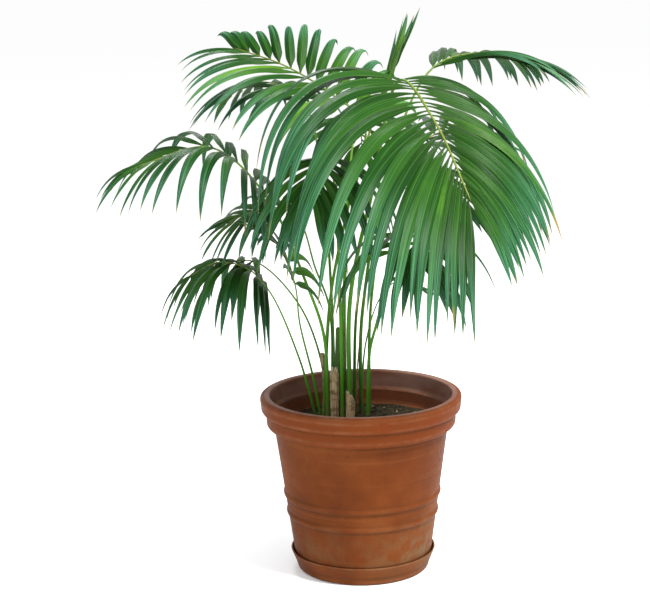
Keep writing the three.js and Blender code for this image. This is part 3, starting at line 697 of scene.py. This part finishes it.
def add_leaflet(builder, line, across, width, seed, cell, blunt, tone, dry):
    steps, columns = len(line) - 1, 7
    shares = np.linspace(0, 1, steps + 1)
    half = 0.5 * width * leaf_outline(shares, blunt)
    spread = np.linspace(1, -1, columns)
    side = across
    upper, lower = [], []
    turn = math.radians(16) * jitter(seed + 2.1)
    wave = 1.6 * jitter(seed + 2.7)
    for k in range(steps + 1):
        ahead = unit(line[min(k + 1, steps)] - line[max(k - 1, 0)])
        side = unit(side - np.dot(side, ahead) * ahead)
        upward = np.cross(ahead, side)
        share = shares[k]
        angle = turn * share + math.radians(5) * math.sin(5 * share + seed)
        wide = side * math.cos(angle) + upward * math.sin(angle)
        face = upward * math.cos(angle) - side * math.sin(angle)
        fold = lerp(0.66, 0.34, float(smoothstep(0.03, 0.4, share)))
        centre = line[k] + wide * wave * math.sin(math.pi * 2.2 * share) * min(1.0, 4 * share)
        ripple = 0.5 * math.sin(11 * share + 3 * seed)
        top_row, low_row = [], []
        for c in spread:
            x = half[k] * c * math.cos(0.8 * fold)
            z = -half[k] * fold * abs(c) + 0.5 * half[k] * fold * (1 - c * c) * 0.35
            z += ripple * c * min(1.0, half[k] / 8)
            skin = 0.28 * (1.25 - 0.8 * abs(c)) * (1.0 if share < 0.96 else 0.5)
            rib = 0.35 * math.exp(-(c / 0.12) ** 2) * (1 - share)
            point = centre + wide * x + face * z
            top_row.append(point + face * (skin + 0.3 * rib))
            low_row.append(point - face * (skin + rib))
        upper.append(top_row)
        lower.append(low_row)
    builder.panel(np.array(upper), np.array(lower), slot=0, cell=cell, tone=tone, dry=dry)


def make_frond(name, leaf, stalk):
    points, neck, pairs, thick, right_hand, left_hand = FRONDS[name]
    path, neck_share, heading = stem_of(points, neck)
    builder = Builder(cells_aspect=8.0)
    add_stem(builder, path, heading, thick)
    cell = 0
    for pair in range(pairs):
        place = (pair + 0.5) / pairs
        for sign, (longest, raised, hang, late, open_angle) in ((1, right_hand), (-1, left_hand)):
            seed = pair * 2 + sign + longest
            share = lerp(neck_share, 0.995, place + 0.2 * jitter(seed) / pairs)
            along, right, up = frame_at(path, heading, share)
            closing = min(22, open_angle)
            sweep = math.radians(lerp(open_angle, closing, place ** 1.3) + 2 * jitter(seed + 0.3))
            lift = math.radians(raised + 3 * jitter(seed + 0.6))
            direction = (along * math.cos(sweep)
                         + right * sign * math.cos(lift) * math.sin(sweep)
                         + up * math.sin(lift) * math.sin(sweep))
            fullness = math.sin(math.pi * min(1, 0.22 + 0.85 * place))
            shape = lerp(0.55, 1, fullness)
            length = longest * shape * (1 + 0.08 * jitter(seed + 0.9))
            droop = hang * (1 - 0.2 * place) * (1 + 0.05 * jitter(seed + 1.2))
            width = LEAFLET_WIDTH * math.sqrt(thick) * lerp(0.7, 1, shape)
            steps = 26 if length > 320 else 18
            line = leaflet_line(path.at(share), direction, length, droop, late, steps)
            cell += 1
            tone = 0.5 + 0.5 * jitter(seed + 3.3)
            tone = min(1.0, tone * 0.8 + YOUNG.get(name, 0.0))
            dry = 0.12 + 0.1 * jitter(seed + 4.1)
            if jitter(seed + 5.7) > 0.72:
                dry = 0.6 + 0.4 * jitter(seed + 6.1)
            blunt = 0.75 if raised > 40 else 0.3
            add_leaflet(builder, line, sign * along, width, seed, cell, blunt, tone, dry)
    builder.object(name.replace("frond", "leafy_frond"), [leaf, stalk], (name,))


# ------------------------------------------------------------------ planter and saucer

POT_BASE = 6.4
BODY_FOOT = (173.0, 44.0)        # radius and height where the straight body begins
BODY_TOP = (216.0, 359.0)        # and where it ends
WALL = 13.0


def arc(centre, radius, start, end, steps):
    angles = np.radians(np.linspace(start, end, steps + 1))
    return [(centre[0] + radius * math.cos(a), centre[1] + radius * math.sin(a)) for a in angles]


def body_radius(height):
    share = (height - BODY_FOOT[1]) / (BODY_TOP[1] - BODY_FOOT[1])
    return lerp(BODY_FOOT[0], BODY_TOP[0], share)


def inner_radius(height):
    return body_radius(height) - WALL


def ring_profile(height):
    return [(body_radius(height + 8 * s) + 4 * (1 - s * s), height + 8 * s)
            for s in np.linspace(-1, 1, 11)]


def pot_profile():
    return [
        (16, 0), (147, 0), *arc((147, 4), 4, -70, -10, 3), (158, 8), (165, 18), (169.5, 31),
        (173, 44), *ring_profile(141), *ring_profile(189), (216, 357.5),
        *arc((217.5, 360.5), 1.6, -90, 0, 3)[:1], *arc((223, 371), 12, -80, 0, 7), (235.6, 394.5),
        *arc((236, 408), 12, -60, 0, 6), (249, 418), (250, 427),
        *arc((241, 430), 9, 0, 90, 9), *arc((230, 435), 4, 90, 180, 5),
        (226, 396), *arc((221, 395), 3.5, -10, -70, 3), (218.5, 389),
        (218.3, 361), *arc((213, 360), 4, -10, -60, 3), (203, 353),
        (inner_radius(44), 44), (144.5, 14), (16, 14), (16, 0),
    ]


def spaced(profile, longest):
    """The profile with points added so that none are further apart than the longest step."""
    result = []
    for (r0, z0), (r1, z1) in zip(profile, profile[1:]):
        steps = max(1, math.ceil(math.hypot(r1 - r0, z1 - z0) / longest))
        result += [(lerp(r0, r1, k / steps), lerp(z0, z1, k / steps)) for k in range(steps)]
    return result + [profile[-1]]


def near(profile, spots, reach):
    """How close each point of the profile is to the nearest of some spots, 1 at the spot."""
    p = np.array(profile)[:, None, :]
    distance = np.linalg.norm(p - np.array(spots, float)[None], axis=2).min(1)
    return np.exp(-(distance / reach) ** 2)


def lathe(builder, profile, sides, base, worn_at, shade_at, waver=0.25):
    angles = np.linspace(0, 2 * math.pi, sides, endpoint=False)
    profile = spaced(profile, 4.0)
    rings = []
    for radius, height in profile:
        ring = []
        for angle in angles:
            x, y = math.cos(angle), math.sin(angle)
            slow = noise.noise(Vector((3 * x, 3 * y, height * 0.012)))
            reach = radius + waver * slow * min(1.0, radius / 60)
            ring.append((x * reach, y * reach, base + height))
        rings.append(ring)
    past_lip = np.arange(len(profile)) > np.argmax([height for _, height in profile])
    # worn marks the scuffed edges; the second mask marks the hollows where the clay gets painted
    # shade.
    values = {"worn": near(profile, worn_at, 3.5), "hollow_shade": near(profile, shade_at, 4.5),
              "under": past_lip.astype(float)}
    builder.tube(rings[::-1], capped=False, tone=0.5,
                 **{key: np.repeat(given[::-1], sides) for key, given in values.items()})


def make_pot(clay):
    builder = Builder()
    edges = [(250, 425), (247, 436), (241, 439), (228, 438), (248, 404), (235, 371), (151, 4),
             (187, 141), (193, 189), (174, 44)]
    # Spots of the profile where the clay gets painted shade.
    hollows = [(236, 396), (217, 358), (185, 132), (184, 150), (191, 180), (191, 198), (218, 389),
               (203, 352), (204, 360), (160, 10)]
    lathe(builder, pot_profile(), 176, POT_BASE, edges, hollows)
    builder.object("banded_planter", [clay], ("pot",), sharp=50)


def make_saucer(clay):
    builder = Builder()
    profile = [
        (0.5, 0), (156, 0), *arc((157, 9), 9, -80, -10, 6), (166.2, 11), (171.6, 24), (181, 47.3),
        *arc((179.4, 47.4), 1.6, 0, 90, 4), (178.4, 49), (177.4, 48.4), (168, 24), (162.6, 9.6),
        *arc((158, 10), 4, -20, -80, 3), (156, 6), (0.5, 6),
    ]
    edges = [(181, 48), (178, 49), (166, 8), (164, 3)]
    # Spots of the saucer where the clay gets painted shade, round the pot's foot.
    hollows = [(160, 7), (168, 20)]
    lathe(builder, profile, 160, 0.0, edges, hollows)
    builder.object("planter_saucer", [clay], ("saucer",), sharp=50)


# ------------------------------------------------------------------ soil

SOIL_EDGE = 363.4


def soil_height(x, y):
    share = min(1.0, math.hypot(x, y) / 203.0)
    lumps = 5.0 * noise.noise(Vector((x * 0.018, y * 0.018, 3.1)))
    crumbs = 2.4 * noise.noise(Vector((x * 0.07, y * 0.07, 8.4)))
    fine = 1.1 * noise.noise(Vector((x * 0.22, y * 0.22, 1.7)))
    return SOIL_EDGE + 10 * (1 + math.cos(math.pi * share)) + (lumps + crumbs + fine) * 0.8


def make_soil(earth):
    builder = Builder()
    sides = 150
    angles = np.linspace(0, 2 * math.pi, sides, endpoint=False)
    rings = []
    for radius, height in ((0.5, 20.8), (143, 20.8), (159.2, 50.4), (200, 340)):
        rings.append([(radius * math.cos(a), radius * math.sin(a), height) for a in angles])
    for radius in np.concatenate([np.linspace(202.2, 190, 7), np.linspace(186, 0.5, 64)]):
        rings.append([(radius * math.cos(a), radius * math.sin(a),
                       soil_height(radius * math.cos(a), radius * math.sin(a))) for a in angles])
    builder.tube(rings, tone=0.3)
    builder.object("potting_soil", [earth], ("soil",), sharp=60)

    crumbs = Builder(cells_aspect=1.0)
    chance = random.Random(11)
    for k in range(620):
        angle, reach = chance.uniform(0, 2 * math.pi), 197 * math.sqrt(chance.random())
        x, y = reach * math.cos(angle), reach * math.sin(angle)
        size = 1.4 + 4.2 * chance.random() ** 3
        squash = chance.uniform(0.55, 0.9)
        centre = np.array((x, y, soil_height(x, y) + 0.25 * size))
        turn = chance.uniform(0, 6.28)
        rings = []
        for latitude in (-75, -35, 5, 42, 76):
            lat = math.radians(latitude)
            ring = []
            for j in range(8):
                lon = 2 * math.pi * j / 8 + turn
                rough = size * (1 + 0.28 * chance.uniform(-1, 1))
                ring.append(centre + rough * np.array((
                    math.cos(lat) * math.cos(lon), math.cos(lat) * math.sin(lon) * squash,
                    math.sin(lat) * squash)))
            rings.append(ring)
        crumbs.tube(rings, cell=k, tone=chance.random())
    crumbs.object("soil_crumbs", [earth], sharp=80)


# ------------------------------------------------------------------ foot of the clump

def add_rod(builder, points, radii, cell, sides=14, steps=24, ribs=0.0, hollow=0.0, tone=0.5):
    above = np.array(points, float) + (0, 0, SOIL_TOP)
    path = Path(np.vstack([above[0] - (0, 0, BURIED), above[1:]]))
    rings = []
    for share in np.linspace(0, 1, steps + 1):
        radius = lerp(radii[0], radii[1], share)
        rings.append(rod_ring(path.at(share), radius, sides, ribs, share))
    end = path.at(1.0)
    if hollow:
        for deep, part in ((0.0, 0.84), (hollow, 0.78), (hollow + 2, 0.1)):
            rings.append(rod_ring(end - (0, 0, deep), radii[1] * part, sides, ribs, 1.0))
    else:
        for rise, part in ((0.5, 0.8), (0.9, 0.4), (1.0, 0.05)):
            rings.append(rod_ring(end + (0, 0, rise * radii[1]), radii[1] * part, sides, ribs, 1.0))
    builder.tube(rings, cell=cell, tone=tone)


def rod_ring(centre, radius, sides, ribs, share):
    ring = []
    for side in range(sides):
        angle = 2 * math.pi * side / sides
        swell = 1 + ribs * math.sin(5 * angle + 2 * share)
        ring.append(centre + radius * swell * np.array((math.cos(angle), math.sin(angle), 0)))
    return ring


def add_sheath(builder, at, inner, wall, height, start, end, cell, seed, point_at):
    """A dead leaf base: a thin open shell whose torn top edge rises to a point on one side."""
    rows, columns = 26, 40
    outer_grid, inner_grid = [], []
    angles = np.radians(np.linspace(start, end, columns + 1))
    peak = math.radians(point_at)
    tops = []
    for a in angles:
        torn = 0.16 * noise.noise(Vector((3.0 * a, seed, 0.0)))
        torn += 0.10 * noise.noise(Vector((13.0 * a, seed, 4.0)))
        rise = 0.30 * math.cos(a - peak)
        tops.append(height * min(1.1, 0.82 + rise + torn) + BURIED)
    for r in range(rows + 1):
        share = r / rows
        outer_row, inner_row = [], []
        for a, top in zip(angles, tops):
            z = share * top
            flare = 1.0 + 0.10 * share ** 2 + 0.05 * noise.noise(Vector((2 * a, 0.02 * z, seed)))
            edge = min(1.0, 2.2 - 2 * share)
            thin = wall * lerp(0.25, 0.85, max(0.0, edge)) * 0.5
            middle = (inner + wall / 2) * flare
            outward = np.array((math.cos(a), math.sin(a), 0.0))
            centre = np.array((at[0] + 0.01 * z, at[1], SOIL_TOP - BURIED + z))
            outer_row.append(centre + outward * (middle + thin))
            inner_row.append(centre + outward * (middle - thin))
        outer_grid.append(outer_row)
        inner_grid.append(inner_row)
    outer_grid, inner_grid = np.array(outer_grid), np.array(inner_grid)
    pale = np.zeros((rows + 1, columns + 1))
    pale[:, :2] = pale[:, -2:] = 0.8
    pale[-2:, :] = 0.7
    builder.panel(outer_grid, inner_grid, cell=cell, worn=pale.ravel(), tone=0.5)


def add_fibre(builder, start, direction, length, radius, cell, seed):
    line = leaflet_line(np.array(start, float), unit(np.array(direction, float)), length,
                        0.25 * (1 + jitter(seed)), 1.5, 10)
    rings = []
    for k, point in enumerate(line):
        ahead = unit(line[min(k + 1, 10)] - line[max(k - 1, 0)])
        side = unit(np.cross(ahead, (0.31, 0.87, 0.11)))
        up = np.cross(ahead, side)
        reach = radius * (1 - 0.75 * k / 10)
        sway = 1.2 * math.sin(k * 0.9 + seed)
        rings.append([point + side * sway + reach * (math.cos(a) * side + math.sin(a) * up)
                      for a in np.linspace(0, 2 * math.pi, 6, endpoint=False)])
    builder.tube(rings, cell=cell, tone=0.6)


def make_clump(shoot, tan, brown, pale):
    core = Builder()
    add_rod(core, [(-57, 34, 0), (-56, 34, 110), (-54, 35, 215)], (10.5, 6), 0, sides=20,
            steps=36, ribs=0.06)
    core.object("green_shoot_core", [shoot], ("shoot_core",))

    stub = Builder()
    add_rod(stub, [(-86, 57, 0), (-90, 56, 80), (-95, 54, 150)], (6, 5.5), 0, sides=16,
            hollow=14, ribs=0.04)
    stub.object("cut_leaf_stub", [tan], ("cut_stub",))

    for name, node, points in (
            ("dead_stalk_west", "dead_stalk_left", [(-35, 15, 0), (-37, 15, 120), (-38, 14, 235)]),
            ("dead_stalk_east", "dead_stalk_right", [(-12, 10, 0), (-8, 10, 110), (2, 8, 220)])):
        stalk = Builder()
        add_rod(stalk, points, (2.2, 1.2), 0, sides=10, ribs=0.08)
        stalk.object(name, [brown], (node,))

    tall = Builder(cells_aspect=1.0)
    add_sheath(tall, (-65, 4), 9, 2.4, 118, 165, 385, 0, 1.7, 250)
    tall.object("torn_sheath_tall", [tan], ("dried_sheath_tall",))

    split = Builder(cells_aspect=1.0)
    add_sheath(split, (-26, 0), 9.4, 2, 62, 165, 350, 0, 6.3, 215)
    for k in range(14):
        angle = math.radians(300 + 60 * jitter(k + 0.4))
        foot = (-26 + 9.6 * math.cos(angle), 9.6 * math.sin(angle), SOIL_TOP + 8 + 3 * (k % 5))
        add_fibre(split, foot, (0.35 * jitter(k + 0.1), 0.25 * jitter(k + 0.7), 1.0),
                  34 + 16 * jitter(k + 0.2), 0.45, k + 1, k)
    split.object("torn_sheath_split", [pale], ("dried_sheath_split",))


# ------------------------------------------------------------------ assembly

make_camera()
make_studio()

leaf, stalk = leaf_material(), stalk_material()
for frond_name in FRONDS:
    make_frond(frond_name, leaf, stalk)

make_pot(terracotta_material("terracotta_pot", 0.365))
make_saucer(terracotta_material("terracotta_saucer", 1.0))
make_soil(soil_material())
make_clump(
    shoot_material(),
    dry_material("dry_sheath_tan", (0.13, 0.068, 0.026), (0.46, 0.35, 0.20)),
    dry_material("dead_stalk_brown", (0.07, 0.04, 0.02), (0.22, 0.14, 0.07)),
    dry_material("dry_sheath_pale", (0.19, 0.105, 0.042), (0.56, 0.42, 0.24)),
)
